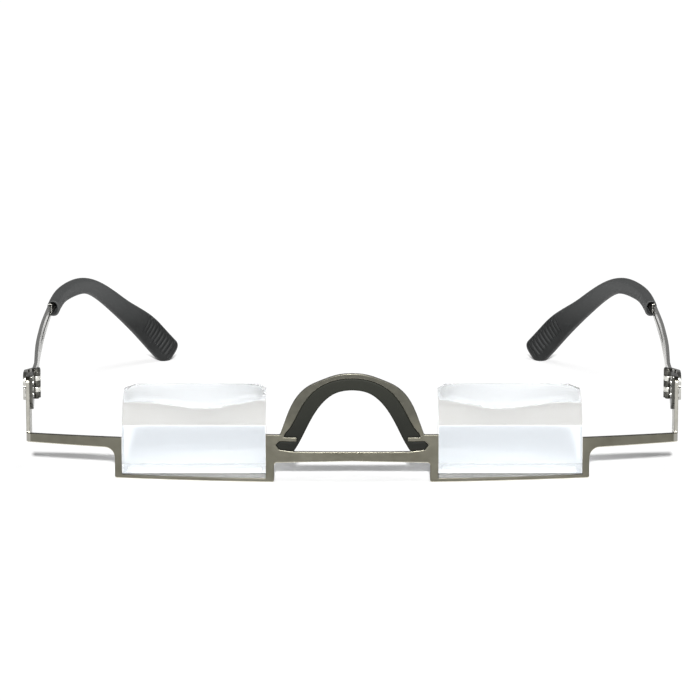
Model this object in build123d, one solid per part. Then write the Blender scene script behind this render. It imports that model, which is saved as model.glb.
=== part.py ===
from build123d import *
import math
import os

os.makedirs("parts", exist_ok=True)

# Prism bed glasses, in millimetres. +X is to the right as seen from the front of the glasses,
# +Y runs from the front back along the temples, +Z is up.
# Every solid is drawn with the floor at z = 0 and the front datum at y = 0, and moved at the end
# so that the origin is the middle of the whole object's underside.
# The left half is drawn on the -X side, and the right half is its mirror image.

# Front sheet: one stamped steel plate, bent in plan to a large radius
sheet_thickness = 0.8
wrap_radius = 290.0
bridge_forward = 3.9

# Side strips, from the cradles out to the end pieces
strip_top = 8.85
strip_height_inner = 2.3
strip_height_outer = 1.85
strip_fillet = 2.2

# Cradles: a leg on each side of the prism and a tray folded back under it
cradle_outer_x = 50.6
outer_leg_width = 1.45
cradle_inner_x = 16.6
inner_leg_width = 1.75
foot_round = 0.45
tray_back_y = 12.6
tray_inset = 0.9
tray_corner = 2.2
tray_step_y = 2.4

# Bridge: nose plates, low bar and arch
nose_plate_top = 10.3
bar_top = 6.65
bar_height_middle = 2.0
bar_height_end = 2.4
bar_corner = 0.6
arch_side_width = 1.15
arch_top_width = 1.0
arch_outer_shares = ((0.893, 0.342), (0.745, 0.650), (0.629, 0.775), (0.416, 0.895), (0.225, 0.972))
nose_plate_width = 1.3
mouth_apex = 22.65
mouth_rise = 0.4
mouth_shares = ((0.864, 0.233), (0.718, 0.561), (0.529, 0.804), (0.278, 0.956))

# Slot and tongue in each nose plate, which hold the foot of the pad
slot_to_leg = 0.35
slot_height = 2.25
slot_round = 0.8
tongue_height = 0.87
tongue_reach = 2.4
tongue_root = 0.45

# Nose pad: rubber strip that lines the arch
pad_top_thickness = 2.6
pad_foot_thickness = 1.8
pad_base_rise = 0.15
pad_shares = ((0.823, 0.297), (0.648, 0.612), (0.496, 0.803), (0.301, 0.944))
pad_gap = 0.04
pad_proud = 0.25
pad_back_y = 0.3
pad_flange = 0.25

# Prisms: clear glass blocks, each on an adhesive film
prism_gap = 0.06
prism_front_y = 0.7
prism_face_top = 11.4
facet_back_y = 5.1
facet_outer_top = 15.35
facet_low_top = 14.2
facet_nose_top = 15.9
facet_shares = (0.34, 0.64, 0.82)
prism_back_y = 14.2
prism_back_top = 17.6
outer_corner_x = 2.7
outer_corner_y = 3.3
nose_corner_x = 1.8
nose_corner_y = 2.3
prism_corner_z = 1.0
bond_thickness = 0.12
bond_margin = 0.8

# End pieces: the sheet turns back and rises to the hinge
end_outer_x = 69.75
end_bend_round = 1.1
end_to_axis = 1.2
end_below_knuckles = 0.2
end_corner = 1.2

# Hinge: five knuckles on a screw, three on the front leaf and two on the temple leaf
hinge_x = 68.0
hinge_y = 12.7
knuckle_radius = 0.95
knuckle_base = 14.9
knuckle_pitch = 1.22
knuckle_count = 5
knuckle_gap = 0.06
swing_gap = 0.15
leaf_thickness = 0.6
front_leaf_depth = 5.2
temple_leaf_depth = 6.0
leaf_corner = 0.8
tongue_drop = 1.7
tongue_width = 1.1
screw_radius = 0.55
screw_clearance = 0.05
screw_tail = 0.25
screw_head_radius = 0.9
screw_head_height = 0.45
screw_slot_width = 0.25
screw_slot_depth = 0.2
rivet_radius = 0.4
rivet_clearance = 0.02
rivet_head_radius = 0.72
rivet_head_height = 0.32
rivet_dome_share = 0.9
rivet_tail_radius = 0.6
rivet_tail_height = 0.18
front_rivet_y = 7.9
front_rivet_spread = 2.6
temple_rivet_first = 3.0
temple_rivet_spread = 2.2

# Temple: thin steel strip that laps outside the end piece, with a long slot
temple_thickness = 0.75
lap_gap = 0.1
lap_length = 3.7
lap_corner = 1.9
lap_notch_height = 0.5
lap_notch_depth = 1.3
joggle_length = 2.3
joggle_round = 0.9
flare_round = 30.0
bow_round = 400.0
temple_near_x = 68.6
temple_mid_x = 69.8
temple_mid_y = 40.0
temple_bow_x = 70.2
temple_far_x = 69.85
temple_end_y = 84.5
temple_straight = 1.2
temple_below_knuckles = 0.1
temple_rear_rise = 0.3
temple_rear_height = 2.3
temple_taper_start = 9.0
temple_slot_start = 39.0
temple_slot_width = 0.75
temple_slot_hole = 0.55
temple_slot_margin = 1.2
core_height = 2.1
core_thickness = 0.65
core_share = 0.78
strip_section_count = 9

# Ear tip: rubber sleeve over the end of the temple, bent inward and down to a paddle
tip_start_x = 69.1
tip_start_y = 82.8
tip_below_temple = 1.0
tip_inward = 25.7
tip_back = 39.0
tip_drop = 19.1
tip_route_shares = ((0.000, 0.000, 0.000), (0.032, 0.132, -0.063), (0.091, 0.260, -0.100),
                    (0.210, 0.407, -0.110), (0.345, 0.547, -0.005), (0.560, 0.702, 0.283),
                    (0.746, 0.852, 0.571), (1.0, 1.0, 1.0))
tip_mouth_height = 3.7
tip_mouth_thickness = 2.9
tip_neck_height = 3.4
tip_neck_thickness = 2.9
tip_neck_share = 0.2
tip_arm_height = 3.7
tip_arm_thickness = 3.2
tip_arm_share = 0.62
paddle_height = 6.2
paddle_thickness = 3.7
paddle_share = 0.82
paddle_cap = 1.6
cap_shares = (0.5, 0.8, 0.96)
cap_height_share = 0.45
cap_thickness_share = 0.2
tip_round_share = 0.4
tip_section_count = 20
tip_bore_gap = 0.12
tip_socket_depth = 4.2
tip_socket_height = 2.9
tip_socket_thickness = 2.1
tip_socket_lean = 0.15
core_lean = 0.65
lean_share = 0.3
groove_count = 10
groove_pitch = 1.2
groove_radius = 0.34
groove_depth = 0.28
groove_first = 2.2

overrun = 3.0

# Places worked out from the sizes
wrap_centre_y = wrap_radius - bridge_forward
bend_centre_x = end_outer_x - end_bend_round
bend_centre_y = wrap_centre_y - math.sqrt((wrap_radius - end_bend_round) ** 2 - bend_centre_x ** 2)
end_inner_x = end_outer_x - sheet_thickness
end_back_y = hinge_y - end_to_axis
strip_low_outer = strip_top - strip_height_outer
strip_low_inner = strip_top - strip_height_inner
outer_leg_x = cradle_outer_x - outer_leg_width
nose_leg_x = cradle_inner_x + inner_leg_width
arch_half_width = cradle_inner_x - nose_plate_width
arch_apex = mouth_apex + arch_top_width
mouth_half_width = arch_half_width - arch_side_width
mouth_base = nose_plate_top + mouth_rise
slot_end_x = cradle_inner_x - slot_to_leg
slot_top = bar_top + slot_height
tongue_top = slot_top + tongue_height
tongue_root_x = mouth_half_width + tongue_root
tongue_tip_x = mouth_half_width - tongue_reach
pad_apex = mouth_apex - pad_top_thickness
pad_base_half_width = mouth_half_width - pad_foot_thickness
pad_base = bar_top + pad_base_rise
knuckle_top = knuckle_base + knuckle_count * knuckle_pitch
end_top = knuckle_top - end_below_knuckles
temple_top = knuckle_top - temple_below_knuckles
temple_rear_top = temple_top + temple_rear_rise
tip_start_z = temple_rear_top - tip_below_temple
leaf_inner_x = end_inner_x - leaf_thickness
lap_inner_x = end_outer_x + lap_gap
lap_outer_x = lap_inner_x + temple_thickness
temple_low = knuckle_base + knuckle_gap / 2


def wrap_disc(radius):
    """Upright disc about the centre of the wrap, taller than the object."""
    return Pos(0, wrap_centre_y, arch_apex / 2) * Cylinder(radius, 2 * arch_apex)


def closed_face(*lines):
    """Face inside a closed outline that is given as several lines."""
    edges = []
    for line in lines:
        edges += line.edges()
    return make_face(edges)


def xz(points):
    return [(x, 0, z) for x, z in points]


def yz_face(points):
    return make_face(Polyline(*[(0, y, z) for y, z in points], close=True).edges())


def along_y(face, y_from, y_to):
    """Extrude a face drawn at y = 0 from one depth to another."""
    return Pos(0, y_from, 0) * extrude(face, amount=y_to - y_from, dir=(0, 1, 0))


def through_front(face, y_to):
    """Extrude a face drawn at y = 0 from ahead of the whole front to a depth."""
    return along_y(face, -bridge_forward - overrun, y_to)


def along_x(face, x_from, x_to):
    """Extrude a face drawn at x = 0 from one side place to another."""
    return Pos(x_from, 0, 0) * extrude(face, amount=x_to - x_from, dir=(1, 0, 0))


def across(points):
    """The same points on the other side of the middle, in reverse order."""
    return [(-x, z) for x, z in reversed(points)]


def arch_curve(shares, half_width, base, apex):
    """Smooth arch from the left foot over the apex to the right foot, in the XZ plane."""
    rise = apex - base
    left = [(-half_width, base)] + [(-half_width * a, base + rise * b) for a, b in shares]
    return Spline(*xz(left + [(0, apex)] + across(left)))


def near(shape_list, x, z, reach):
    """Vertices of a drawn face that lie close to a place in the XZ plane, on either side."""
    return [v for v in shape_list if abs(abs(v.X) - x) < reach and abs(v.Z - z) < reach]


def upright(radius, x, y, low, high):
    """Upright cylinder at a place, from height low to height high."""
    post = Cylinder(radius, high - low, align=(Align.CENTER, Align.CENTER, Align.MIN))
    return Pos(x, y, low) * post


def pin_x(radius, x_from, x_to, y, z):
    """Cylinder that lies along X."""
    pin = Rotation(0, 90, 0) * Cylinder(radius, abs(x_to - x_from))
    return Pos((x_from + x_to) / 2, y, z) * pin


# Front frame

def plan_ribbon():
    """The whole sheet's path in plan, end piece to end piece, as a tall ribbon."""
    lines = []
    centre = Vector(0, wrap_centre_y, 0)
    for depth, side_x in ((0, end_outer_x), (sheet_thickness, end_inner_x)):
        radius = wrap_radius - depth
        bend = end_bend_round - depth
        joints = {}
        for side in (-1, 1):
            bend_centre = Vector(side * bend_centre_x, bend_centre_y, 0)
            outward = (bend_centre - centre).normalized()
            joints[side] = centre + outward * radius
            start = Vector(side * side_x, bend_centre_y, 0)
            halfway = (outward + Vector(side, 0, 0)).normalized()
            lines.append(ThreePointArc(start, bend_centre + halfway * bend, joints[side]))
            lines.append(Line((side * side_x, end_back_y, 0), start))
        lines.append(ThreePointArc(joints[-1], centre - Vector(0, radius, 0), joints[1]))
    for side in (-1, 1):
        lines.append(Line((side * end_outer_x, end_back_y, 0), (side * end_inner_x, end_back_y, 0)))
    return extrude(closed_face(*lines), amount=2 * arch_apex, dir=(0, 0, 1))


def front_outline():
    """Outline of the front sheet in the XZ plane, with the gaps over the prisms."""
    past_end = end_outer_x + overrun
    left = Polyline(*xz([
        (-past_end, strip_low_outer), (-past_end, strip_top), (-outer_leg_x, strip_top),
        (-outer_leg_x, sheet_thickness), (-nose_leg_x, sheet_thickness), (-nose_leg_x, nose_plate_top),
        (-arch_half_width, nose_plate_top)]))
    low = Polyline(*xz([
        (0, bar_top - bar_height_middle), (-cradle_inner_x, bar_top - bar_height_end), (-cradle_inner_x, 0),
        (-cradle_outer_x, 0), (-cradle_outer_x, strip_low_inner), (-past_end, strip_low_outer)]))
    over = arch_curve(arch_outer_shares, arch_half_width, nose_plate_top, arch_apex)
    face = closed_face(left, low, over, mirror(left, about=Plane.YZ), mirror(low, about=Plane.YZ))
    face = fillet(near(face.vertices(), cradle_outer_x, strip_low_inner, foot_round), strip_fillet)
    feet = near(face.vertices(), cradle_outer_x, 0, foot_round)
    feet += near(face.vertices(), cradle_inner_x, 0, foot_round)
    face = fillet(feet, foot_round)
    return fillet(near(face.vertices(), cradle_inner_x, bar_top - bar_height_end, foot_round), bar_corner)


def mouth_outline(gap):
    """Opening under the arch with its slots and tongues, drawn a gap inside the sheet's edge."""
    curve = arch_curve(mouth_shares, mouth_half_width - gap, mouth_base, mouth_apex - gap)
    left = Polyline(*xz([
        (gap - mouth_half_width, mouth_base), (gap - tongue_root_x, tongue_top + gap),
        (gap - tongue_tip_x, tongue_top + gap), (gap - tongue_tip_x, slot_top - gap),
        (slot_round - slot_end_x, slot_top - gap), (gap - slot_end_x, slot_top - slot_round),
        (slot_round - slot_end_x, bar_top + slot_round / 2 + gap), (-pad_base_half_width, bar_top + gap),
        (0, bar_top + gap)]))
    return closed_face(curve, left, mirror(left, about=Plane.YZ))


def end_outline():
    """Side view of an end piece, from the bend up to the hinge."""
    face = yz_face([
        (bend_centre_y, strip_low_outer), (end_back_y, strip_low_outer), (end_back_y, end_top),
        (bend_centre_y, end_top)])
    return fillet([v for v in face.vertices() if v.Y > hinge_y / 2 or v.Z > strip_top], end_corner)


def tray():
    """Plate folded back under the left prism, with its front edge inside the sheet's thickness."""
    side_out = cradle_outer_x - tray_inset
    side_in = cradle_inner_x + tray_inset
    plan = make_face(Polyline(
        (-cradle_outer_x, -bridge_forward - overrun), (-cradle_inner_x, -bridge_forward - overrun),
        (-cradle_inner_x, tray_step_y), (-side_in, tray_step_y), (-side_in, tray_back_y),
        (-side_out, tray_back_y), (-side_out, tray_step_y),
        (-cradle_outer_x, tray_step_y), close=True).edges())
    plan = fillet([v for v in plan.vertices() if v.Y > tray_step_y + overrun], tray_corner)
    section = make_face(Polyline(*xz([
        (-cradle_outer_x, 0), (-cradle_inner_x, 0), (-cradle_inner_x, sheet_thickness),
        (-cradle_outer_x, sheet_thickness)]), close=True).edges())
    section = fillet([v for v in section.vertices() if v.Z < sheet_thickness / 2], foot_round)
    plate = extrude(plan, amount=sheet_thickness, dir=(0, 0, 1))
    plate = plate & through_front(section, tray_back_y + overrun)
    return plate & wrap_disc(wrap_radius - sheet_thickness / 2)


def rivet_places(first_y, spread):
    """Centres of a leaf's two rivets, as (y, z)."""
    middle = (knuckle_base + knuckle_top) / 2
    return [(first_y, middle + spread / 2), (first_y, middle - spread / 2)]


def front_rivet_places():
    return rivet_places(front_rivet_y, front_rivet_spread)


def temple_rivet_places():
    middle = (knuckle_base + knuckle_top) / 2
    first = hinge_y + temple_rivet_first
    return [(first, middle), (first + temple_rivet_spread, middle)]


def front_frame():
    ribbon = plan_ribbon()
    frame = ribbon & through_front(front_outline(), bend_centre_y)
    frame = frame - through_front(mouth_outline(0), bend_centre_y)
    for side in (-1, 1):
        end = ribbon & along_x(end_outline(), side * end_outer_x * 2, side * end_inner_x / 2)
        plate = tray()
        if side > 0:
            plate = mirror(plate, about=Plane.YZ)
        frame = frame + end + plate
    for side in (-1, 1):
        for y, z in front_rivet_places():
            x_low, x_high = side * (end_inner_x - overrun), side * (end_outer_x + overrun)
            frame = frame - pin_x(rivet_radius + rivet_clearance, x_low, x_high, y, z)
    return frame


# Nose pad

def nose_pad():
    inner_curve = arch_curve(pad_shares, pad_base_half_width, pad_base, pad_apex)
    below = Polyline(*xz([
        (-pad_base_half_width, pad_base), (-pad_base_half_width, 0), (pad_base_half_width, 0),
        (pad_base_half_width, pad_base)]))
    inner = closed_face(inner_curve, below)
    hollow = through_front(inner, pad_back_y + overrun)
    lining = through_front(mouth_outline(pad_gap), pad_back_y) & wrap_disc(wrap_radius + pad_proud)
    outer_curve = arch_curve(mouth_shares, mouth_half_width + pad_flange, mouth_base, mouth_apex + pad_flange)
    foot = Polyline(*xz([
        (-mouth_half_width - pad_flange, mouth_base), (-slot_end_x, slot_top),
        (-slot_end_x, bar_top + 2 * pad_gap), (0, bar_top + 2 * pad_gap)]))
    backing = through_front(closed_face(outer_curve, foot, mirror(foot, about=Plane.YZ)), pad_back_y)
    backing = backing & wrap_disc(wrap_radius - sheet_thickness - pad_gap)
    return (lining - hollow) + (backing - hollow)


# Prisms

def prism_section(y, outer_top, low_shares_top, nose_top):
    """Upright section of the left prism at a depth: flat base and sides, top through the given heights."""
    x_out = -outer_leg_x + prism_gap
    x_in = -nose_leg_x - prism_gap
    base = sheet_thickness + bond_thickness
    ends = [(x_out, y, outer_top), (x_in, y, nose_top)]
    between = [(x_out + (x_in - x_out) * s, y, z) for s, z in zip(facet_shares, low_shares_top)]
    top = Spline(*([ends[0]] + between + [ends[1]]))
    sides = Polyline((x_in, y, nose_top), (x_in, y, base), (x_out, y, base), (x_out, y, outer_top))
    return closed_face(top, sides)


def without_corner(block, x, inward, reach_x, reach_y, ridge_top):
    """The block less the small facet that cuts its upper back corner, across three of its edges."""
    fall = (prism_back_top - ridge_top) * reach_y / (prism_back_y - facet_back_y)
    on_back = Vector(x + inward * reach_x, prism_back_y, prism_back_top)
    on_side = Vector(x, prism_back_y - reach_y, prism_back_top - fall)
    on_upright = Vector(x, prism_back_y, prism_back_top - prism_corner_z)
    outward = (on_side - on_back).cross(on_upright - on_back) * -inward
    return split(block, bisect_by=Plane(on_back, z_dir=outward), keep=Keep.BOTTOM)


def left_prism():
    slope_out = facet_outer_top + (facet_low_top - facet_outer_top) * facet_shares[0] / facet_shares[1]
    slope_in = (facet_low_top + facet_nose_top) / 2
    level = len(facet_shares)
    face = prism_section(prism_front_y, prism_face_top, [prism_face_top] * level, prism_face_top)
    ridge = prism_section(facet_back_y, facet_outer_top, (slope_out, facet_low_top, slope_in), facet_nose_top)
    back = prism_section(prism_back_y, prism_back_top, [prism_back_top] * level, prism_back_top)
    block = loft([face, ridge], ruled=True) + loft([ridge, back], ruled=True)
    x_out = -outer_leg_x + prism_gap
    x_in = -nose_leg_x - prism_gap
    block = without_corner(block, x_out, 1, outer_corner_x, outer_corner_y, facet_outer_top)
    return without_corner(block, x_in, -1, nose_corner_x, nose_corner_y, facet_nose_top)


def left_bond():
    x_out = -outer_leg_x + prism_gap + bond_margin
    x_in = -nose_leg_x - prism_gap - bond_margin
    y_front = prism_front_y + bond_margin
    y_back = tray_back_y - bond_margin
    film = Box(x_in - x_out, y_back - y_front, bond_thickness)
    return Pos((x_in + x_out) / 2, (y_front + y_back) / 2, sheet_thickness + bond_thickness / 2) * film


# Hinge

def knuckle_span(index):
    low = knuckle_base + index * knuckle_pitch + knuckle_gap / 2
    return low, low + knuckle_pitch - knuckle_gap


def hinge_bore():
    return upright(screw_radius + screw_clearance, -hinge_x, hinge_y, 0, 2 * knuckle_top)


def leaf_arm(x_low, x_high, y_from, y_to, index):
    """Slab that carries one knuckle from its leaf, at the knuckle's height."""
    low, high = knuckle_span(index)
    slab = Box(x_high - x_low, y_to - y_from, high - low)
    return Pos((x_low + x_high) / 2, (y_from + y_to) / 2, (low + high) / 2) * slab


def left_front_leaf():
    front_y = end_back_y - front_leaf_depth
    low = knuckle_base + knuckle_gap / 2
    high = knuckle_top - knuckle_gap / 2
    tip_y = (front_y + end_back_y) / 2
    face = yz_face([
        (end_back_y, high), (front_y, high), (front_y, low), (tip_y - tongue_width / 2, low - tongue_drop),
        (tip_y + tongue_width / 2, low - tongue_drop), (end_back_y, low)])
    face = fillet([v for v in face.vertices() if v.Y < tip_y or v.Z < low - tongue_drop / 2], leaf_corner / 2)
    leaf = along_x(face, -end_inner_x, -leaf_inner_x)
    for index in range(0, knuckle_count, 2):
        span = knuckle_span(index)
        leaf = leaf + upright(knuckle_radius, -hinge_x, hinge_y, *span)
        leaf = leaf + leaf_arm(-end_inner_x, -leaf_inner_x, end_back_y - leaf_corner, hinge_y, index)
    leaf = leaf - hinge_bore()
    for y, z in front_rivet_places():
        leaf = leaf - pin_x(rivet_radius + rivet_clearance, -end_outer_x, -leaf_inner_x + overrun, y, z)
    return leaf


def left_temple_leaf():
    inner_x = temple_near_x - temple_thickness / 2
    start_y = hinge_y + knuckle_radius + swing_gap
    end_y = hinge_y + temple_leaf_depth
    low = knuckle_span(1)[0]
    high = knuckle_span(3)[1]
    face = yz_face([(start_y, low), (end_y, low), (end_y, high), (start_y, high)])
    face = fillet([v for v in face.vertices() if v.Y > start_y + leaf_corner], leaf_corner)
    leaf = along_x(face, -inner_x, leaf_thickness - inner_x)
    for index in range(1, knuckle_count, 2):
        leaf = leaf + upright(knuckle_radius, -hinge_x, hinge_y, *knuckle_span(index))
        leaf = leaf + leaf_arm(-inner_x, leaf_thickness - inner_x, hinge_y, start_y + leaf_corner, index)
    leaf = leaf - hinge_bore()
    for y, z in temple_rivet_places():
        leaf = leaf - pin_x(rivet_radius + rivet_clearance, -hinge_x - overrun, -hinge_x + overrun, y, z)
    return leaf


def left_hinge_screw():
    top = knuckle_span(knuckle_count - 1)[1]
    shaft = upright(screw_radius, -hinge_x, hinge_y, knuckle_base - screw_tail, top)
    head = upright(screw_head_radius, -hinge_x, hinge_y, top, top + screw_head_height)
    head = fillet(head.faces().sort_by(Axis.Z)[-1].edges(), screw_slot_depth)
    slot = Box(screw_slot_width, 3 * screw_head_radius, 2 * screw_slot_depth)
    return shaft + head - Pos(-hinge_x, hinge_y, top + screw_head_height) * slot


def rivet(x_out, x_in, y, z):
    """Rivet along X with a domed head outside and a low upset tail inside."""
    shank = pin_x(rivet_radius, x_out, x_in, y, z)
    head = pin_x(rivet_head_radius, x_out, x_out - rivet_head_height, y, z)
    head = fillet(head.faces().sort_by(Axis.X)[0].edges(), rivet_head_height * rivet_dome_share)
    tail = pin_x(rivet_tail_radius, x_in, x_in + rivet_tail_height, y, z)
    return shank + head + tail


def left_front_rivets():
    return Compound([rivet(-end_outer_x, -leaf_inner_x, y, z) for y, z in front_rivet_places()])


def left_temple_rivets():
    outer = -temple_near_x - temple_thickness / 2
    inner = outer + temple_thickness + leaf_thickness
    return Compound([rivet(outer, inner, y, z) for y, z in temple_rivet_places()])


# Temples

def tip_route():
    """Middle line of the ear tip, from its mouth to the middle of the paddle's end."""
    points = [(-tip_start_x + tip_inward * a, tip_start_y + tip_back * b, tip_start_z - tip_drop * c)
              for a, b, c in tip_route_shares]
    return Spline(*points, tangents=[(0, 1, 0), Vector(*points[-1]) - Vector(*points[-2])])


def tip_plane(route, share):
    """Plane square to the route, with its X axis up the broad face."""
    tangent = route % share
    up = (Vector(0, 0, 1) - tangent * tangent.Z).normalized()
    return Plane(origin=route @ share, x_dir=up, z_dir=tangent)


def blend_sizes(share):
    """Height and thickness of the sleeve at a share of its route."""
    stages = ((0.0, tip_mouth_height, tip_mouth_thickness),
              (tip_neck_share, tip_neck_height, tip_neck_thickness),
              (tip_arm_share, tip_arm_height, tip_arm_thickness),
              (paddle_share, paddle_height, paddle_thickness),
              (1.0, paddle_height, paddle_thickness))
    for (a, height_a, thick_a), (b, height_b, thick_b) in zip(stages, stages[1:]):
        if share <= b:
            t = (share - a) / (b - a)
            ease = t * t * (3 - 2 * t)
            return height_a + (height_b - height_a) * ease, thick_a + (thick_b - thick_a) * ease
    return paddle_height, paddle_thickness


def sleeve(route):
    """Outside of the ear tip: rounded sections along the route, closing to a round end."""
    sections = []
    last = 1 - paddle_cap / route.length
    for index in range(tip_section_count):
        share = last * index / (tip_section_count - 1)
        height, thick = blend_sizes(share)
        sections.append(tip_plane(route, share) * RectangleRounded(height, thick, thick * tip_round_share))
    for part in cap_shares:
        share = last + (1 - last) * part
        shrink = 1 - math.sqrt(1 - part ** 2)
        height = paddle_height * (1 - (1 - cap_height_share) * shrink)
        thick = paddle_thickness * (1 - (1 - cap_thickness_share) * shrink)
        sections.append(tip_plane(route, share) * RectangleRounded(height, thick, thick * tip_round_share))
    return loft([section.face() for section in sections], ruled=True)


def even_shares(last):
    """Shares of the route at even steps from its start to a last one."""
    return [last * index / (strip_section_count - 1) for index in range(strip_section_count)]


def strip_along(route, height, thick, shares, lean):
    """Flat strip through the given shares of the route, leaning outward from it near the mouth."""
    sections = []
    for share in shares:
        outward = lean * max(0.0, 1 - share / lean_share) ** 2
        sections.append((tip_plane(route, share) * Pos(0, -outward, 0) * Rectangle(height, thick)).face())
    return loft(sections, ruled=True)


def left_ear_tip():
    route = tip_route()
    tip = sleeve(route)
    bore_shares = even_shares(core_share) + [core_share + tip_bore_gap / route.length]
    bore_height = core_height + 2 * tip_bore_gap
    bore = strip_along(route, bore_height, core_thickness + 2 * tip_bore_gap, bore_shares, core_lean)
    socket_shares = even_shares(tip_socket_depth / route.length)
    socket = strip_along(route, tip_socket_height, tip_socket_thickness, socket_shares, tip_socket_lean)
    tip = tip - bore - socket
    for index in range(groove_count):
        share = 1 - (groove_first + index * groove_pitch) / route.length
        half_thick = blend_sizes(share)[1] / 2
        across_face = Rotation(0, 90, 0) * Cylinder(groove_radius, 2 * paddle_height)
        lift = Pos(0, half_thick + groove_radius - groove_depth, 0)
        tip = tip - tip_plane(route, share) * lift * across_face
    floor = Pos(0, 0, -overrun) * Box(4 * hinge_x, 4 * temple_end_y, 2 * overrun)
    return tip - floor


def temple_middle(y):
    """Height of the temple's middle line at a depth behind the start of its taper."""
    start = hinge_y + temple_taper_start
    front = (temple_top + temple_low) / 2
    rear = temple_rear_top - temple_rear_height / 2
    return front + (rear - front) * (y - start) / (temple_end_y - start)


def temple_side():
    """Side view of the temple strip: deep at the hinge, tapering to the ear tip, with its slot."""
    front_y = hinge_y - lap_length
    taper_y = hinge_y + temple_taper_start
    face = yz_face([
        (front_y, temple_top), (front_y, temple_low), (taper_y, temple_low),
        (temple_end_y, temple_rear_top - temple_rear_height), (temple_end_y, temple_rear_top),
        (taper_y, temple_top)])
    upper = [v for v in face.vertices() if v.Y < hinge_y and v.Z > temple_low + lap_corner]
    face = fillet(upper, lap_corner)
    lower = [v for v in face.vertices() if v.Y < hinge_y and v.Z < temple_low + lap_corner / 2]
    face = fillet(lower, lap_corner / 2)
    return along_x(face, -2 * hinge_x, 0)


def temple_slot():
    """Long slot at mid height, with a round hole at its front end."""
    first = hinge_y + temple_slot_start
    last = tip_start_y - temple_slot_margin
    half = temple_slot_width / 2
    middle_first = temple_middle(first)
    middle_last = temple_middle(last)
    slot = along_x(yz_face([
        (first, middle_first - half), (last, middle_last - half), (last, middle_last + half),
        (first, middle_first + half)]), -2 * hinge_x, 0)
    end = pin_x(half, -2 * hinge_x, 0, last, middle_last)
    return slot + end + pin_x(temple_slot_hole, -2 * hinge_x, 0, first, middle_first)


def temple_plan():
    """Temple strip seen from above, as a tall ribbon: lap, joggle and a gentle bow."""
    lap_x = -(lap_inner_x + lap_outer_x) / 2
    route = FilletPolyline(
        (lap_x, hinge_y - lap_length), (lap_x, hinge_y), (-temple_near_x, hinge_y + joggle_length),
        (-temple_near_x, hinge_y + temple_leaf_depth + temple_straight),
        (-temple_mid_x, temple_mid_y), (-temple_bow_x, (temple_mid_y + temple_end_y) / 2),
        (-temple_far_x, temple_end_y), radius=[joggle_round, joggle_round, flare_round, bow_round, bow_round])
    ribbon = trace(route, line_width=temple_thickness)
    return extrude(ribbon, amount=2 * temple_top, dir=(0, 0, 1))


def left_temple_arm():
    notch = Box(2 * hinge_x, 2 * lap_notch_depth, lap_notch_height)
    arm = temple_plan() & temple_side()
    arm = arm - temple_slot()
    arm = arm - Pos(-hinge_x, hinge_y - lap_length, (knuckle_base + knuckle_top) / 2) * notch
    for y, z in temple_rivet_places():
        arm = arm - pin_x(rivet_radius + rivet_clearance, -2 * hinge_x, 0, y, z)
    return arm + strip_along(tip_route(), core_height, core_thickness, even_shares(core_share), core_lean)


def place_at_origin(nodes):
    """Move every node so that the origin is the middle of the whole object's underside."""
    box = Compound([solid for solid in nodes.values()]).bounding_box()
    shift = Pos(0, -(box.min.Y + box.max.Y) / 2, -box.min.Z)
    return {name: shift * solid for name, solid in nodes.items()}


def build():
    nodes = {"front_frame": front_frame(), "nose_pad": nose_pad()}
    halves = {
        "prism": left_prism(),
        "prism_bond": left_bond(),
        "front_leaf": left_front_leaf(),
        "front_rivets": left_front_rivets(),
        "hinge_screw": left_hinge_screw(),
        "temple_leaf": left_temple_leaf(),
        "temple_rivets": left_temple_rivets(),
        "temple_arm": left_temple_arm(),
        "ear_tip": left_ear_tip(),
    }
    for name, solid in halves.items():
        nodes["left_" + name] = solid
        nodes["right_" + name] = mirror(solid, about=Plane.YZ)
    return nodes


for name, solid in place_at_origin(build()).items():
    export_step(solid, f"parts/{name}.step")
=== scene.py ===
import math

import bmesh
import bpy
import numpy as np
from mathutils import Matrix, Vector


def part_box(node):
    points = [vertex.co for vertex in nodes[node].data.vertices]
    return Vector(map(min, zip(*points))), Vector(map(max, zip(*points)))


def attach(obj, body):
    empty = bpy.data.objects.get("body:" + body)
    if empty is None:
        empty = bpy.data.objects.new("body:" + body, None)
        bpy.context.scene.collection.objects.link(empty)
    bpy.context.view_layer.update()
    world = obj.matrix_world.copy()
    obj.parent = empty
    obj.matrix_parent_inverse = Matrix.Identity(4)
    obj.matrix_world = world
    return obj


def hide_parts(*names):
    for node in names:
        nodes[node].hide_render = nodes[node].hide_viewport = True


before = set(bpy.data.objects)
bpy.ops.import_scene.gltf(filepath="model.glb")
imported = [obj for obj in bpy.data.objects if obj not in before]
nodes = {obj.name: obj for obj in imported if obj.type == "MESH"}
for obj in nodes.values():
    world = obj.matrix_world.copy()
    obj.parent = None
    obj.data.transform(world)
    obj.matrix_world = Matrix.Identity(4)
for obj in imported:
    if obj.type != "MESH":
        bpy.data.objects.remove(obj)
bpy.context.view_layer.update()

MM = 0.001
SIDES = (("left_", -1), ("right_", 1))


# Materials

# Values of a noise at which it shows its low tone and its high tone
CLOUD_LOW = 0.3
CLOUD_HIGH = 0.7
ALL_WAYS = (1, 1, 1)
ALONG_X = (0.08, 1, 1)
ALONG_Y = (1, 0.08, 1)
BEVEL_SAMPLES = 8


def srgb(red, green, blue):
    """Linear colour for a colour that is given as it looks, from 0 to 255."""
    out = []
    for part in (red, green, blue):
        value = part / 255
        out.append(value / 12.92 if value <= 0.04045 else ((value + 0.055) / 1.055) ** 2.4)
    return (*out, 1.0)


def grey(level):
    return (level, level, level, 1.0)


WHITE = grey(1.0)
BLACK = grey(0.0)


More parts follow.
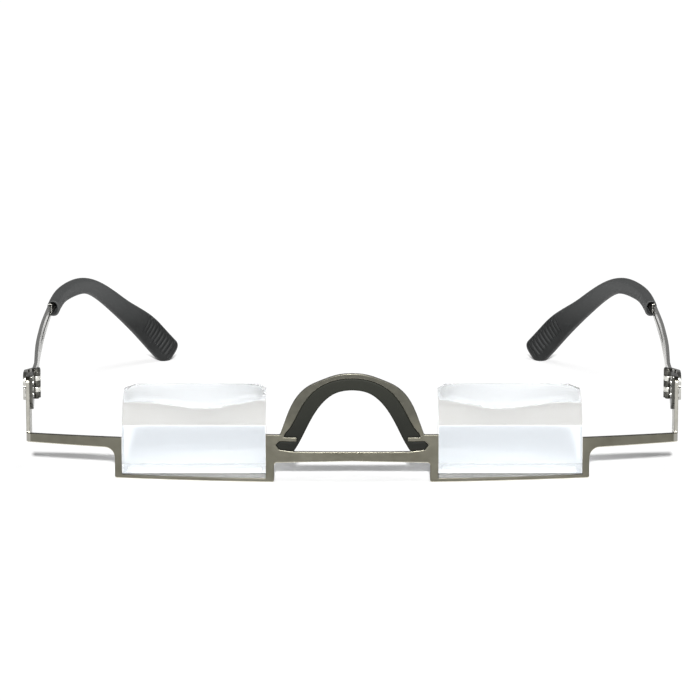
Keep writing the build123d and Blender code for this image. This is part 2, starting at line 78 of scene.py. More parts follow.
class Look:
    """A material's node tree, with short ways to add its detail."""

    def __init__(self, name):
        self.material = bpy.data.materials.new(name)
        self.material.use_nodes = True
        self.tree = self.material.node_tree
        self.shader = self.tree.nodes["Principled BSDF"]
        where = self.tree.nodes.new("ShaderNodeTexCoord")
        self.place = where.outputs["Object"]
        self.facing = self.parts(where.outputs["Normal"])
        self.from_origin = self.parts(self.place)

    def node(self, kind, **values):
        made = self.tree.nodes.new("ShaderNode" + kind)
        for key, value in values.items():
            setattr(made, key, value)
        return made

    def link(self, source, target):
        self.tree.links.new(source, target)

    def parts(self, vector):
        """The vector's three parts, by axis."""
        made = self.node("SeparateXYZ")
        self.link(vector, made.inputs["Vector"])
        return {axis: made.outputs[axis] for axis in "XYZ"}

    def constant(self, **values):
        """Sets sockets of the shader by name, with spaces written as underscores."""
        for key, value in values.items():
            self.shader.inputs[key.replace("_", " ")].default_value = value

    def noise(self, size, detail, stretch=ALL_WAYS):
        """Noise whose features are about the given size in metres, longer where stretch is small."""
        mapping = self.node("Mapping")
        mapping.inputs["Scale"].default_value = stretch
        self.link(self.place, mapping.inputs["Vector"])
        made = self.node("TexNoise")
        made.inputs["Scale"].default_value = 1 / size
        made.inputs["Detail"].default_value = detail
        self.link(mapping.outputs["Vector"], made.inputs["Vector"])
        return made.outputs["Fac"]

    def clouds(self, size, detail, low, high):
        """Colour that wanders between two tones."""
        made = self.node("ValToRGB")
        for element, place, colour in zip(made.color_ramp.elements, (CLOUD_LOW, CLOUD_HIGH), (low, high)):
            element.position = place
            element.color = colour
        self.link(self.noise(size, detail), made.inputs["Fac"])
        return made.outputs["Color"]

    def mixed(self, share, first, second):
        """Colour that goes from first, a socket, to second, a colour, with a share."""
        made = self.node("Mix", data_type="RGBA")
        self.link(share, made.inputs["Factor"])
        self.link(first, made.inputs["A"])
        made.inputs["B"].default_value = second
        return made.outputs["Result"]

    def spread(self, source, low, high, first=CLOUD_LOW, last=CLOUD_HIGH):
        """A value that goes from low to high as the source goes from first to last."""
        made = self.node("MapRange")
        for key, value in (("From Min", first), ("From Max", last), ("To Min", low), ("To Max", high)):
            made.inputs[key].default_value = value
        self.link(source, made.inputs["Value"])
        return made.outputs["Result"]

    def rising(self, source, span):
        return self.spread(source, 0.0, 1.0, *span)

    def falling(self, source, span):
        return self.spread(source, 1.0, 0.0, *span)

    def maths(self, operation, first, second=None):
        made = self.node("Math", operation=operation)
        for socket, value in zip(made.inputs, (first, second)):
            if isinstance(value, (int, float)):
                socket.default_value = value
            elif value is not None:
                self.link(value, socket)
        return made.outputs[0]

    def from_middle(self):
        """Distance from the plane in which one half mirrors the other."""
        return self.maths("ABSOLUTE", self.from_origin["X"])

    def rough(self, size, detail, low, high):
        self.link(self.spread(self.noise(size, detail), low, high), self.shader.inputs["Roughness"])

    def bump(self, height, strength, depth, under=None):
        made = self.node("Bump")
        made.inputs["Strength"].default_value = strength
        made.inputs["Distance"].default_value = depth
        self.link(height, made.inputs["Height"])
        if under is not None:
            self.link(under, made.inputs["Normal"])
        self.link(made.outputs["Normal"], self.shader.inputs["Normal"])
        return made.outputs["Normal"]

    def rounded(self, radius):
        """Normal with its edges rounded, and that normal's parts along the object's axes."""
        made = self.node("Bevel", samples=BEVEL_SAMPLES)
        made.inputs["Radius"].default_value = radius
        turned = self.node("VectorTransform", vector_type="NORMAL", convert_from="WORLD", convert_to="OBJECT")
        self.link(made.outputs["Normal"], turned.inputs["Vector"])
        return made.outputs["Normal"], self.parts(turned.outputs["Vector"])


# Steel: size of each detail in metres, the noise's levels of detail, and how much of it shows
STEEL_CLOUDS = (5.0 * MM, 3.0)
STEEL_GRAIN = (0.35 * MM, 3.0)
STEEL_SMEARS = (1.2 * MM, 6.0)
STEEL_WAVES = (2.5 * MM, 2.0)
GRAIN_SHARE = 0.25
GRAIN_SHOWS = (0.55, 0.8)
GRAIN_BUMP = (0.04, 0.015 * MM)
WAVE_BUMP = (0.04, 0.04 * MM)
EDGE_RADIUS = 0.3 * MM
# Parts of the rounded normal, across the sheet and upward, between which the painted highlight on lower edges shows
HIGHLIGHT_LEAVES_EDGE = (0.02, 0.15)
HIGHLIGHT_LEAVES_FACE = (0.93, 0.995)
HIGHLIGHT_BELOW = (-0.3, -0.12)
# Upward part of the normal from which faces that look up get a painted shade
UPPER_SHADE_FROM = (0.12, 0.4)
# Where the painted shade on the high parts, the painted light on the ends' outer sides and the painted highlight on
# the inner knuckles begin and are full
HIGH_SHADE_SPAN = (12.0 * MM, 15.0 * MM)
OUTER_LIGHT_SPAN = (68.7 * MM, 69.0 * MM)
INNER_HIGHLIGHT_SPAN = (69.0 * MM, 69.2 * MM)


def lower_edge_highlights(look, facing):
    """Painted highlight: near 1 on the rounded lower edges of a plate that faces along Y."""
    across = look.maths("ABSOLUTE", facing["Y"])
    turning = look.maths("MULTIPLY", look.rising(across, HIGHLIGHT_LEAVES_EDGE), look.falling(across, HIGHLIGHT_LEAVES_FACE))
    return look.maths("MULTIPLY", turning, look.falling(facing["Z"], HIGHLIGHT_BELOW))


def steel(name, dark, light, rough_low, rough_high, grain=ALL_WAYS, edge_highlight=None, upper_shade=None, inner_highlight=None,
          outer_light=None, high=None):
    """Rolled and tumbled steel: cloudy tone, fine grain along one way and scratches, with painted light and shade
    where given: a painted highlight on lower edges, painted shade on faces that look up and on high parts, and painted
    light on the ends' outer sides and the inner knuckles.
    """
    look = Look(name)
    tone = look.clouds(*STEEL_CLOUDS, dark, light)
    streaks = look.noise(*STEEL_GRAIN, grain)
    tone = look.mixed(look.spread(streaks, 0.0, GRAIN_SHARE, *GRAIN_SHOWS), tone, light)
    # Darker colour on the high parts, the arch: painted shade
    if high is not None:
        tone = look.mixed(look.rising(look.from_origin["Z"], HIGH_SHADE_SPAN), tone, high)
    # Lighter colour on the ends' outer sides: painted light
    if outer_light is not None:
        tone = look.mixed(look.rising(look.from_middle(), OUTER_LIGHT_SPAN), tone, outer_light)
    smooth, facing = None, look.facing
    # The rounded lower edges get a pale colour: a painted highlight
    if edge_highlight is not None:
        smooth, facing = look.rounded(EDGE_RADIUS)
        tone = look.mixed(lower_edge_highlights(look, facing), tone, edge_highlight)
    # Faces and edges that look up get a darker colour: painted shade
    if upper_shade is not None:
        tone = look.mixed(look.rising(facing["Z"], UPPER_SHADE_FROM), tone, upper_shade)
    # Near-white colour on the inner knuckles: painted highlight
    if inner_highlight is not None:
        tone = look.mixed(look.falling(look.from_middle(), INNER_HIGHLIGHT_SPAN), tone, inner_highlight)
    look.link(tone, look.shader.inputs["Base Color"])
    look.rough(*STEEL_SMEARS, rough_low, rough_high)
    look.constant(Metallic=1.0)
    fine = look.bump(streaks, *GRAIN_BUMP, smooth)
    look.bump(look.noise(*STEEL_WAVES), *WAVE_BUMP, fine)
    return look.material


RUBBER_CLOUDS = (3.0 * MM, 5.0)
RUBBER_SMEARS = (0.8 * MM, 5.0)
RUBBER_GRAIN = (0.16 * MM, 4.0)
RUBBER_BUMP = (0.15, 0.02 * MM)
# Heights between which the rubber's painted light, its paler tone high up, begins and is full
TOP_LIGHT_SPAN = (10.0 * MM, 22.0 * MM)


def rubber(name, dark, light, rough_low, rough_high, shine, top_light):
    """Moulded rubber: faint clouds, a satin skin, a fine even grain and a paler tone where it lies high, which is
    painted light on its upper parts.
    """
    look = Look(name)
    tone = look.clouds(*RUBBER_CLOUDS, dark, light)
    tone = look.mixed(look.rising(look.from_origin["Z"], TOP_LIGHT_SPAN), tone, top_light)
    look.link(tone, look.shader.inputs["Base Color"])
    look.rough(*RUBBER_SMEARS, rough_low, rough_high)
    look.constant(Specular_IOR_Level=shine)
    look.bump(look.noise(*RUBBER_GRAIN), *RUBBER_BUMP)
    return look.material


# Parts of the normal between which each flat face of a prism begins
FACES_AHEAD = (-0.99, -0.97)
FACES_ABOVE = (0.88, 0.91)
FACES_SLOPED = (0.55, 0.65)
FACES_ASIDE = (0.96, 0.99)
FACES_BEHIND = (0.9, 0.95)
FACES_BELOW = (-0.98, -0.95)
GLASS_CLOUDS = (6.0 * MM, 2.0)
GLASS_SMEARS = (1.5 * MM, 3.0)
GLASS_ROUGH = 0.02
GLASS_IOR = 1.5


def glass(name, clear, face, shaded_facet, top, edge):
    """Glass whose flat faces each have a tint, a frosted share and a roughness, and edges with their own."""
    look = Look(name)
    x, y, z = look.facing["X"], look.facing["Y"], look.facing["Z"]
    ahead = look.falling(y, FACES_AHEAD)
    above = look.rising(z, FACES_ABOVE)
    sloped = look.maths("MULTIPLY", look.rising(z, FACES_SLOPED), look.maths("SUBTRACT", 1.0, above))
    hidden = look.maths("MAXIMUM", look.rising(y, FACES_BEHIND), look.falling(z, FACES_BELOW))
    hidden = look.maths("MAXIMUM", look.rising(look.maths("ABSOLUTE", x), FACES_ASIDE), hidden)
    flat = look.maths("MAXIMUM", look.maths("MAXIMUM", ahead, above), look.maths("MAXIMUM", sloped, hidden))
    tone = look.clouds(*GLASS_CLOUDS, clear, WHITE)
    frosted, rough = 0.0, look.spread(look.noise(*GLASS_SMEARS), 0.0, GLASS_ROUGH)
    zones = ((look.maths("SUBTRACT", 1.0, flat), edge), (above, top), (sloped, shaded_facet), (ahead, face))
    for share, (tint, frost, roughness) in zones:
        tone = look.mixed(share, tone, tint)
        frosted = look.maths("ADD", frosted, look.maths("MULTIPLY", share, frost))
        rough = look.maths("ADD", rough, look.maths("MULTIPLY", share, roughness))
    look.link(tone, look.shader.inputs["Base Color"])
    look.link(look.maths("SUBTRACT", 1.0, frosted), look.shader.inputs["Transmission Weight"])
    look.link(rough, look.shader.inputs["Roughness"])
    look.constant(IOR=GLASS_IOR)
    return look.material


FILM_CLOUDS = (1.5 * MM, 4.0)
FILM_SMEARS = (0.6 * MM, 3.0)
FILM_ROUGH = (0.45, 0.6)
FILM_WAVES = (0.5 * MM, 2.0)
FILM_BUMP = (0.05, 0.01 * MM)
FILM_SHINE = 0.1
FILM_PAINTED_GLOW = 0.42


def adhesive(name, dark, light):
    """Clear cement, drawn white and given a painted glow: painted light for the light from the floor that fills it."""
    look = Look(name)
    look.link(look.clouds(*FILM_CLOUDS, dark, light), look.shader.inputs["Base Color"])
    look.rough(*FILM_SMEARS, *FILM_ROUGH)
    look.bump(look.noise(*FILM_WAVES), *FILM_BUMP)
    look.constant(Specular_IOR_Level=FILM_SHINE, Emission_Color=WHITE, Emission_Strength=FILM_PAINTED_GLOW)
    return look.material


# The sheet's pale lower edges are a painted highlight, its darker upward faces and high parts painted shade, its
# lighter outer sides painted light
SHEET = steel("sheet_steel", srgb(97, 95, 84), srgb(111, 109, 98), 0.28, 0.36, ALONG_X,
              edge_highlight=srgb(240, 235, 218), upper_shade=srgb(66, 64, 57), outer_light=srgb(158, 156, 148), high=srgb(88, 87, 79))
# The temples' darker upward faces are painted shade
TEMPLE = steel("temple_steel", srgb(176, 175, 170), srgb(192, 191, 186), 0.22, 0.3, ALONG_Y,
               upper_shade=srgb(116, 116, 111))
FRONT_LEAF = steel("front_leaf_steel", srgb(70, 70, 66), srgb(96, 95, 90), 0.22, 0.34)
# The temple leaf's near-white inner knuckles are a painted highlight
TEMPLE_LEAF = steel("temple_leaf_steel", srgb(132, 131, 125), srgb(154, 153, 147), 0.22, 0.32,
                    inner_highlight=srgb(222, 221, 214))
RIVET = steel("rivet_steel", srgb(206, 205, 200), srgb(226, 225, 220), 0.18, 0.28)
SCREW = steel("screw_steel", srgb(66, 66, 62), srgb(88, 87, 82), 0.24, 0.34)
# The pad's and the tips' paler tone high up is painted light
PAD = rubber("pad_rubber", srgb(18, 19, 16), srgb(24, 25, 21), 0.5, 0.62, shine=0.1, top_light=srgb(32, 33, 28))
TIP = rubber("tip_rubber", srgb(20, 21, 21), srgb(28, 29, 29), 0.4, 0.52, shine=0.2, top_light=srgb(62, 63, 63))
# Each zone's tint, frosted share and roughness; the facet's grey tint is painted shade, for the shadowed floor that
# shows through it
GLASS = glass("prism_glass", srgb(248, 250, 251), face=((0.73, 0.77, 0.81, 1.0), 0.1, 0.12),
              shaded_facet=((0.43, 0.425, 0.41, 1.0), 0.6, 0.3), top=((1.0, 1.0, 0.99, 1.0), 0.0, 0.0),
              edge=(grey(0.95), 0.5, 0.2))
# The film's white tone and glow are painted light
FILM = adhesive("bond_film", srgb(236, 240, 242), srgb(244, 247, 248))

LOOKS = {
    "front_frame": SHEET, "nose_pad": PAD, "prism": GLASS, "prism_bond": FILM, "front_leaf": FRONT_LEAF,
    "front_rivets": RIVET, "hinge_screw": SCREW, "temple_leaf": TEMPLE_LEAF, "temple_rivets": RIVET,
    "temple_arm": TEMPLE, "ear_tip": TIP,
}
EDGE_ROUNDS = {"prism": 0.08 * MM, "front_leaf": 0.1 * MM, "temple_leaf": 0.1 * MM, "temple_arm": 0.15 * MM,
               "hinge_screw": 0.08 * MM}
EDGE_SEGMENTS = 3
WELD_REACH = 0.002 * MM
SHARP_FROM = math.radians(35)


def add_weld(obj):
    weld = obj.modifiers.new("weld", "WELD")
    weld.merge_threshold = WELD_REACH


def dress(name, kind):
    """Gives a CAD node its material, and, for the kinds in EDGE_ROUNDS, a small round along its sharp edges."""
    obj = nodes[name]
    obj.data.materials.clear()
    obj.data.materials.append(LOOKS[kind])
    if kind in EDGE_ROUNDS:
        add_weld(obj)
        bevel = obj.modifiers.new("edge", "BEVEL")
        bevel.width = EDGE_ROUNDS[kind]
        bevel.segments = EDGE_SEGMENTS
        bevel.limit_method = "ANGLE"
        bevel.angle_limit = SHARP_FROM
        bevel.harden_normals = True
        bevel.use_clamp_overlap = kind != "prism"


for node_name in nodes:
    dress(node_name, node_name.removeprefix("left_").removeprefix("right_"))


# Meshes

CURVE_STEPS = 900


def mesh_object(name, verts, faces, material):
    mesh = bpy.data.meshes.new(name)
    mesh.from_pydata([Vector(v) for v in verts], [], faces)
    shape = bmesh.new()
    shape.from_mesh(mesh)
    bmesh.ops.recalc_face_normals(shape, faces=shape.faces)
    shape.to_mesh(mesh)
    shape.free()
    for face in mesh.polygons:
        face.use_smooth = True
    mesh.materials.append(material)
    obj = bpy.data.objects.new(name, mesh)
    bpy.context.scene.collection.objects.link(obj)
    return obj


def skin(rings):
    """Vertices and faces of a closed skin over rings of equally many points."""
    count = len(rings[0])
    verts = [point for ring in rings for point in ring]
    faces = []
    for low in range(0, len(verts) - count, count):
        for k in range(count):
            after = (k + 1) % count
            faces.append((low + k, low + after, low + count + after, low + count + k))
    faces.append(tuple(range(count)))
    faces.append(tuple(range(len(verts) - count, len(verts))))
    return verts, faces


def curve_through(points, start, end):
    """Smooth curve through points that leaves and arrives along two directions, and its length so far."""
    spots = np.array(points, dtype=float)
    gaps = np.linalg.norm(np.diff(spots, axis=0), axis=1)
    knots = np.concatenate([[0.0], np.cumsum(gaps)])
    last = len(spots) - 1
    system = np.zeros((last + 1, last + 1))
    wanted = np.zeros((last + 1, 3))
    system[0, 0] = system[last, last] = 1.0
    wanted[0] = np.array(start) / np.linalg.norm(start)
    wanted[last] = np.array(end) / np.linalg.norm(end)
    for i in range(1, last):
        before, after = gaps[i - 1], gaps[i]
        system[i, i - 1:i + 2] = (after, 2 * (before + after), before)
        wanted[i] = 3 * (after * (spots[i] - spots[i - 1]) / before + before * (spots[i + 1] - spots[i]) / after)
    slopes = np.linalg.solve(system, wanted)
    places = []
    for u in np.linspace(0.0, knots[-1], CURVE_STEPS):
        i = min(int(np.searchsorted(knots, u, side="right")) - 1, last - 1)
        t = (u - knots[i]) / gaps[i]
        places.append((2 * t ** 3 - 3 * t ** 2 + 1) * spots[i] + (t ** 3 - 2 * t ** 2 + t) * gaps[i] * slopes[i]
                      + (3 * t ** 2 - 2 * t ** 3) * spots[i + 1] + (t ** 3 - t ** 2) * gaps[i] * slopes[i + 1])
    places = np.array(places)
    lengths = np.concatenate([[0.0], np.cumsum(np.linalg.norm(np.diff(places, axis=0), axis=1))])
    return places, lengths


# Ear tips, in millimetres, in the part's own drawing position

Y_SHIFT = -59.688
TIP_START = (69.1, 82.8, 20.2)
TIP_INWARD = 25.7
TIP_BACK = 39.0
TIP_DROP = 19.1
# Shares of the way inward, back and down, at points along the route
TIP_SHARES = ((0.000, 0.000, 0.000), (0.032, 0.132, -0.063), (0.091, 0.260, -0.100), (0.210, 0.407, -0.110),
              (0.345, 0.547, -0.005), (0.560, 0.702, 0.283), (0.746, 0.852, 0.571), (1.000, 1.000, 1.000))
# Share of the route, then the section's height, thickness, squareness and how far it lies above the route
TIP_STAGES = ((0.00, 3.70, 2.9, 2.2, 0.00), (0.12, 3.55, 2.9, 2.4, 0.00), (0.25, 3.85, 2.9, 2.5, 0.05),
              (0.38, 3.68, 3.0, 2.5, 0.15), (0.50, 4.15, 3.1, 2.6, 0.00), (0.62, 4.70, 3.3, 2.6, -0.15),
              (0.72, 5.75, 3.6, 2.7, -0.10), (0.80, 6.50, 3.7, 2.8, 0.00), (0.92, 6.55, 3.7, 2.8, -0.30),
              (1.00, 6.40, 3.7, 2.8, -0.25))
# The stages are averaged over this share of the route on either side
TIP_BLUR = 0.04
TIP_BLUR_POINTS = 9
TIP_LIP = 0.3
LIP_FLARE = 0.5
LIP_STEPS = 8
SOCKET_DEPTH = 4.0
SOCKET_HEIGHT = 2.9
SOCKET_THICKNESS = 2.1
SOCKET_SQUARENESS = 2.2
SOCKET_LEAN = 0.15
TIP_CAP = 2.0
CAP_STEPS = 16
# Share of the size that is left at the very end, and how late the cap closes
CAP_TALL = (0.32, 2.4)
CAP_WIDE = (0.06, 2.2)
GROOVES = 10
GROOVE_FIRST = 2.4
GROOVE_PITCH = 1.2
GROOVE_DEPTH = 0.3
GROOVE_BOW = 0.45
GROOVE_SHARPNESS = 1.3
# Shares of the paddle's half height at which the grooves end, and over which they fade
GROOVE_TOP = (0.85, 0.25)
GROOVE_FOOT = (-0.75, 0.35)
RING_POINTS = 64
FINE_STEP = 0.1
COARSE_STEP = 0.4


def ease(t):
    t = min(1.0, max(0.0, t))
    return t * t * (3 - 2 * t)


def tip_sizes(share):
    """Height, thickness, squareness and lift of the sleeve at a share of its route."""
    table = np.array(TIP_STAGES)
    near = np.clip(share + np.linspace(-TIP_BLUR, TIP_BLUR, TIP_BLUR_POINTS), 0.0, 1.0)
    return [float(np.interp(near, table[:, 0], table[:, column]).mean()) for column in range(1, table.shape[1])]


def groove_depth(to_end, up_share):
    """How deep the finger grooves are at a distance from the paddle's end and a share of its half height."""
    phase = (to_end - GROOVE_FIRST + GROOVE_BOW * (1 - up_share ** 2)) / GROOVE_PITCH
    if not -0.5 < phase < GROOVES - 0.5:
        return 0.0
    window = ease((GROOVE_TOP[0] - up_share) / GROOVE_TOP[1]) * ease((up_share - GROOVE_FOOT[0]) / GROOVE_FOOT[1])
    return GROOVE_DEPTH * window * (0.5 + 0.5 * math.cos(2 * math.pi * phase)) ** GROOVE_SHARPNESS


def section(place, tangent, height, thick, power, lift=0.0, lean=0.0, to_end=None):
    """Rounded section square to the route: points round it, with grooves on the side that faces in."""
    up = np.array([0.0, 0.0, 1.0]) - tangent * tangent[2]
    up /= np.linalg.norm(up)
    inward = np.cross(tangent, up)
    ring = []
    for k in range(RING_POINTS):
        angle = 2 * math.pi * (k + 0.5) / RING_POINTS
        x, y = math.cos(angle), math.sin(angle)
        x = math.copysign(abs(x) ** (2 / power), x)
        y = math.copysign(abs(y) ** (2 / power), y)
        sunk = groove_depth(to_end, x) * y if to_end is not None and y > 0 else 0.0
        ring.append(place + up * (x * height / 2 + lift) + inward * (y * thick / 2 - lean - sunk))
    return ring


def left_tip_rings():
    """Sections of the left sleeve: out of the socket, round the lip, along the route and over the end."""
    points = [(-TIP_START[0] + TIP_INWARD * a, TIP_START[1] + TIP_BACK * b, TIP_START[2] - TIP_DROP * c)
              for a, b, c in TIP_SHARES]
    places, lengths = curve_through(points, (0, 1, 0), np.array(points[-1]) - np.array(points[-2]))
    tangents = np.gradient(places, lengths, axis=0)
    tangents /= np.linalg.norm(tangents, axis=1)[:, None]
    total = lengths[-1]

    def at(s):
        place, tangent = (np.array([np.interp(s, lengths, table[:, axis]) for axis in range(3)])
                          for table in (places, tangents))
        return place, tangent / np.linalg.norm(tangent)

    rings = []
    for s in np.arange(SOCKET_DEPTH, 0.0, -COARSE_STEP):
        rings.append(section(*at(s), SOCKET_HEIGHT, SOCKET_THICKNESS, SOCKET_SQUARENESS, lean=SOCKET_LEAN))
    height, thick, power, lift = tip_sizes(0.0)
    for step in range(LIP_STEPS + 1):
        angle = math.pi * step / LIP_STEPS
        socket = 0.5 + 0.5 * math.cos(angle)
        inset = TIP_LIP * (1 - math.sin(angle))
        flare = TIP_LIP * math.sin(angle) * LIP_FLARE
        rings.append(section(*at(inset), height + (SOCKET_HEIGHT + flare - height) * socket,
                             thick + (SOCKET_THICKNESS + flare - thick) * socket, power, lift, SOCKET_LEAN * socket))
    s = TIP_LIP + COARSE_STEP
    grooves_from = total - GROOVE_FIRST - GROOVES * GROOVE_PITCH
    while s < total - TIP_CAP:
        rings.append(section(*at(s), *tip_sizes(s / total), to_end=total - s))
        s += FINE_STEP if s > grooves_from else COARSE_STEP
    height, thick, power, lift = tip_sizes(1.0)
    for step in range(CAP_STEPS + 1):
        part = math.sin(math.pi / 2 * step / CAP_STEPS)
        tall, wide = (left + (1 - left) * math.sqrt(max(0.0, 1 - part ** late)) for left, late in (CAP_TALL, CAP_WIDE))
        s = total - TIP_CAP * (1 - part)
        rings.append(section(*at(s), height * tall, thick * wide, power, lift, to_end=total - s))
    return rings


def placed(point, side):
    """Point of the left half, given in millimetres, as it lies in the model on one side, in metres."""
    return (-side * point[0] * MM, (point[1] + Y_SHIFT) * MM, max(0.0, point[2]) * MM)


tip_rings = left_tip_rings()
for prefix, side in SIDES:
    verts, faces = skin([[placed(point, side) for point in ring] for ring in tip_rings])
    tip = mesh_object(prefix + "ear_sleeve", verts, faces, TIP)
    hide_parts(prefix + "ear_tip")
    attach(tip, prefix + "temple")


# Nose pad: the CAD strip with its edges rounded as rubber leaves a mould

PAD_VOXEL = 0.14 * MM
PAD_SOFTNESS = 0.5
PAD_SMOOTHING = 6


def moulded_copy(name, node, material):
    obj = bpy.data.objects.new(name, nodes[node].data.copy())
    bpy.context.scene.collection.objects.link(obj)
    add_weld(obj)
    remesh = obj.modifiers.new("remesh", "REMESH")
    remesh.mode = "VOXEL"
    remesh.voxel_size = PAD_VOXEL
    soften = obj.modifiers.new("soften", "SMOOTH")
    soften.factor = PAD_SOFTNESS
    soften.iterations = PAD_SMOOTHING
    ready = obj.evaluated_get(bpy.context.evaluated_depsgraph_get())
    mesh = bpy.data.meshes.new_from_object(ready)
    obj.modifiers.clear()
    obj.data = mesh
    for face in mesh.polygons:
        face.use_smooth = True
    mesh.materials.clear()
    mesh.materials.append(material)
    return obj


pad = moulded_copy("nose_strip", "nose_pad", PAD)
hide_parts("nose_pad")
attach(pad, "front")


# Adhesive films: a thin sheet with an uneven edge, wet against the glass

FILM_SINK = 0.02 * MM
FILM_RIPPLE = 0.25 * MM
# Share of the ripple that is always there, then waves round the edge: how many, their start and their share
RIPPLE_BASE = 0.5
RIPPLE_WAVES = ((7, 1, 0.3), (17, 0, 0.2))
FILM_POINTS = 120
FILM_SQUARENESS = 0.22
# Height over the film's foot, or depth under its top, and how far the edge is drawn in there
FILM_FOOT = ((0.0, 0.03 * MM), (0.05 * MM, 0.0))
FILM_TOP = ((0.03 * MM, 0.02 * MM), (0.0, 0.06 * MM))


def film_outline(low, high, inset):
    """Rounded and slightly wavy outline inside a box, as (x, y)."""
    middle = (low + high) / 2
    half = (high - low) / 2
    points = []
    for k in range(FILM_POINTS):
        angle = 2 * math.pi * k / FILM_POINTS
        x, y = (math.copysign(min(1.0, abs(part) ** FILM_SQUARENESS), part)
                for part in (math.cos(angle), math.sin(angle)))
        ripple = RIPPLE_BASE + sum(share * math.sin(count * angle + start) for count, start, share in RIPPLE_WAVES)
        margin = inset + FILM_RIPPLE * ripple
        points.append((middle.x + x * (half.x - margin), middle.y + y * (half.y - margin)))
    return points


for prefix, _ in SIDES:
    low, high = (Vector(corner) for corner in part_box(prefix + "prism_bond"))
    levels = [(low.z + rise, inset) for rise, inset in FILM_FOOT]
    levels += [(high.z + FILM_SINK - drop, inset) for drop, inset in FILM_TOP]
    rings = [[(x, y, z) for x, y in film_outline(low, high, inset)] for z, inset in levels]
    film = mesh_object(prefix + "bond_layer", *skin(rings), FILM)
    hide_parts(prefix + "prism_bond")
    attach(film, "front")


# Floor

SEEN_RAYS = ("Is Camera Ray", "Is Glossy Ray", "Is Transmission Ray")
FLOOR_HALF = 6.0
FLOOR_ROUGH = 0.9
PAPER_CLOUDS = (40.0 * MM, 2.0)
PAPER_TONES = (grey(0.895), grey(0.905))
FLOOR_GLOW = 0.1
# Painted light: the floor glows this much more for rays through glass, filling in the prisms' own shadow seen through
# them
PAINTED_GLOW_THROUGH_GLASS = 0.45
PAINTED_WHITE_GLOW = 1.04
# Along Y, where the floor glows plain white for the camera, painted light that hides the shadows cast there, and where
# it turns back
WHITE_FROM = (-37.0 * MM, -34.0 * MM)
WHITE_TO = (38.0 * MM, 44.0 * MM)
WHITE_AGAIN_FROM = (62.0 * MM, 68.0 * MM)
# Behind the front it is painted plain white this far out too, on either side
WHITE_OUTSIDE = (60.0 * MM, 64.0 * MM)


def seen_straight(tree):
    """1 for what the camera sees itself, in a mirror or through glass, and 0 for other light."""
    path = tree.nodes.new("ShaderNodeLightPath")
    total = path.outputs[SEEN_RAYS[0]]
    for name in SEEN_RAYS[1:]:
        most = tree.nodes.new("ShaderNodeMath")
        most.operation = "MAXIMUM"
        tree.links.new(total, most.inputs[0])
        tree.links.new(path.outputs[name], most.inputs[1])
        total = most.outputs[0]
    return total


def floor_material():
    look = Look("floor_paper")
    look.constant(Roughness=FLOOR_ROUGH, Specular_IOR_Level=0.0, Emission_Color=WHITE)
    path = look.node("LightPath").outputs
    along = look.from_origin["Y"]
    behind = look.rising(along, WHITE_FROM)
    painted_white = look.maths("MULTIPLY", behind, look.falling(along, WHITE_TO))
    painted_white = look.maths("ADD", painted_white, look.rising(along, WHITE_AGAIN_FROM))
    outside = look.maths("MULTIPLY", look.rising(look.from_middle(), WHITE_OUTSIDE), behind)
    painted_white = look.maths("MULTIPLY", look.maths("MAXIMUM", painted_white, outside), path["Is Camera Ray"])
    paper = look.clouds(*PAPER_CLOUDS, *PAPER_TONES)
    # Where painted white, the floor has no base colour and only glows, so its shadows vanish
    look.link(look.mixed(painted_white, paper, BLACK), look.shader.inputs["Base Color"])
    glow = look.maths("MULTIPLY", seen_straight(look.tree), FLOOR_GLOW)
    glow = look.maths("ADD", glow, look.maths("MULTIPLY", path["Is Transmission Ray"], PAINTED_GLOW_THROUGH_GLASS))
    glow = look.maths("ADD", glow, look.maths("MULTIPLY", painted_white, PAINTED_WHITE_GLOW - FLOOR_GLOW))
    look.link(glow, look.shader.inputs["Emission Strength"])
    return look.material


corners = [(-FLOOR_HALF, -FLOOR_HALF, 0), (FLOOR_HALF, -FLOOR_HALF, 0), (FLOOR_HALF, FLOOR_HALF, 0),
           (-FLOOR_HALF, FLOOR_HALF, 0)]
floor = mesh_object("floor", corners, [(0, 1, 2, 3)], floor_material())


# Sky and lamps

AMBIENT = 0.11
HIGH_SKY = 0.3
# The sky that is seen goes from white to dark between these heights of the ray's direction
WHITE_UP_TO = 0.10
DARK_FROM = 0.24
KEY_RISE = math.radians(23.5)
KEY_WIDTH = math.radians(3.5)
KEY_LEVEL = 0.8
TOP_TOWARDS = (0.15, -0.15, 1.0)
TOP_WIDTH = math.radians(26.0)
TOP_LEVEL = 0.15

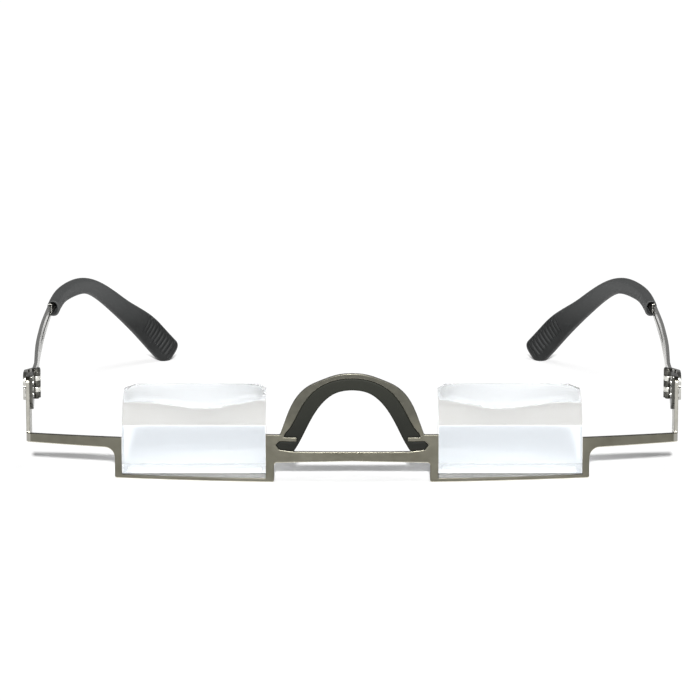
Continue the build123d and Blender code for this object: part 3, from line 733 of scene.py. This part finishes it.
world = bpy.data.worlds.new("studio")
bpy.context.scene.world = world
world.use_nodes = True
sky = world.node_tree
direction = sky.nodes.new("ShaderNodeSeparateXYZ")
sky.links.new(sky.nodes.new("ShaderNodeTexCoord").outputs["Generated"], direction.inputs["Vector"])
fade = sky.nodes.new("ShaderNodeMapRange")
for key, value in (("From Min", WHITE_UP_TO), ("From Max", DARK_FROM), ("To Min", 1.0), ("To Max", HIGH_SKY)):
    fade.inputs[key].default_value = value
sky.links.new(direction.outputs["Z"], fade.inputs["Value"])
through_glass = sky.nodes.new("ShaderNodeMath")
through_glass.operation = "MAXIMUM"
sky.links.new(fade.outputs["Result"], through_glass.inputs[0])
sky.links.new(sky.nodes.new("ShaderNodeLightPath").outputs["Is Transmission Ray"], through_glass.inputs[1])
strength = sky.nodes.new("ShaderNodeMapRange")
strength.inputs["To Min"].default_value = AMBIENT
sky.links.new(through_glass.outputs[0], strength.inputs["To Max"])
sky.links.new(seen_straight(sky), strength.inputs["Value"])
sky.links.new(strength.outputs["Result"], sky.nodes["Background"].inputs["Strength"])
sky.nodes["Background"].inputs["Color"].default_value = WHITE


def far_lamp(name, towards, width, level, mirrored):
    """Lamp without falloff. The level is what it adds to a white floor."""
    data = bpy.data.lights.new(name, "SUN")
    data.angle = width
    way = Vector(towards).normalized()
    data.energy = level * math.pi / way.z
    obj = bpy.data.objects.new(name, data)
    obj.location = way
    obj.rotation_euler = way.to_track_quat("Z", "Y").to_euler()
    obj.visible_transmission = False
    obj.visible_glossy = mirrored
    bpy.context.scene.collection.objects.link(obj)


far_lamp("key", (0.0, -math.cos(KEY_RISE), math.sin(KEY_RISE)), KEY_WIDTH, KEY_LEVEL, mirrored=True)
far_lamp("top", TOP_TOWARDS, TOP_WIDTH, TOP_LEVEL, mirrored=False)


# Camera, fitted to the photo

IMAGE_PX = 700
SENSOR = 36.0
FOCAL_PX = 4275.0
CAMERA_TILT = math.radians(12.0)
CAMERA_Y = -0.94609
CAMERA_Z = 0.21628
# How far the object's midline and level lie from the middle of the picture
MIDLINE_PX = 2.1
LEVEL_PX = 0.5
CLIP_START = 0.01

camera_data = bpy.data.cameras.new("camera")
camera_data.sensor_width = SENSOR
camera_data.lens = FOCAL_PX * SENSOR / IMAGE_PX
camera_data.shift_x = -MIDLINE_PX / IMAGE_PX
camera_data.shift_y = LEVEL_PX / IMAGE_PX
camera_data.clip_start = CLIP_START
camera = bpy.data.objects.new("camera", camera_data)
camera.location = (0.0, CAMERA_Y, CAMERA_Z)
camera.rotation_euler = (math.pi / 2 - CAMERA_TILT, 0.0, 0.0)
bpy.context.scene.collection.objects.link(camera)
bpy.context.scene.camera = camera
bpy.context.scene.view_settings.view_transform = "Standard"
